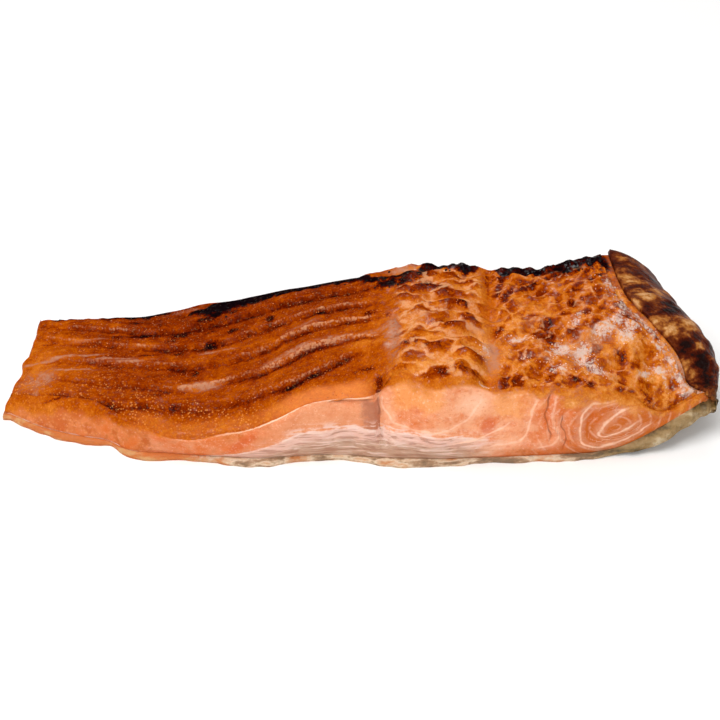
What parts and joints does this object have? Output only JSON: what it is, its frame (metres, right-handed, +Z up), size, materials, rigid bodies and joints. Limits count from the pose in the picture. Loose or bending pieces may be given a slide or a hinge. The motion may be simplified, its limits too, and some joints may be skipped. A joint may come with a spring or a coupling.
{
  "type": "roasted trout fillet portion",
  "caption": "Flame-roasted trout fillet portion lying skin side down: shingled browned flakes on top, pale cut face, thin belly end and thick dorsal end wrapped in skin.",
  "frame": {"origin": "bottom centre of the portion's box, on the surface that it lies on", "axes": "+X from the thin belly end to the thick dorsal end, +Y from the near cut face to the far one, +Z up out of the roasted top"},
  "size_m": [0.1705, 0.0475, 0.0279],
  "materials": {
    "flesh": "moist roasted fish flesh, browned and charred on top, pale salmon orange on the cut faces",
    "skin": "roasted fish skin, olive brown with dark spots, charred round the dorsal end"
  },
  "bodies": {
    "root": {"flesh": "flesh", "skin": "skin"}
  },
  "joints": []
}
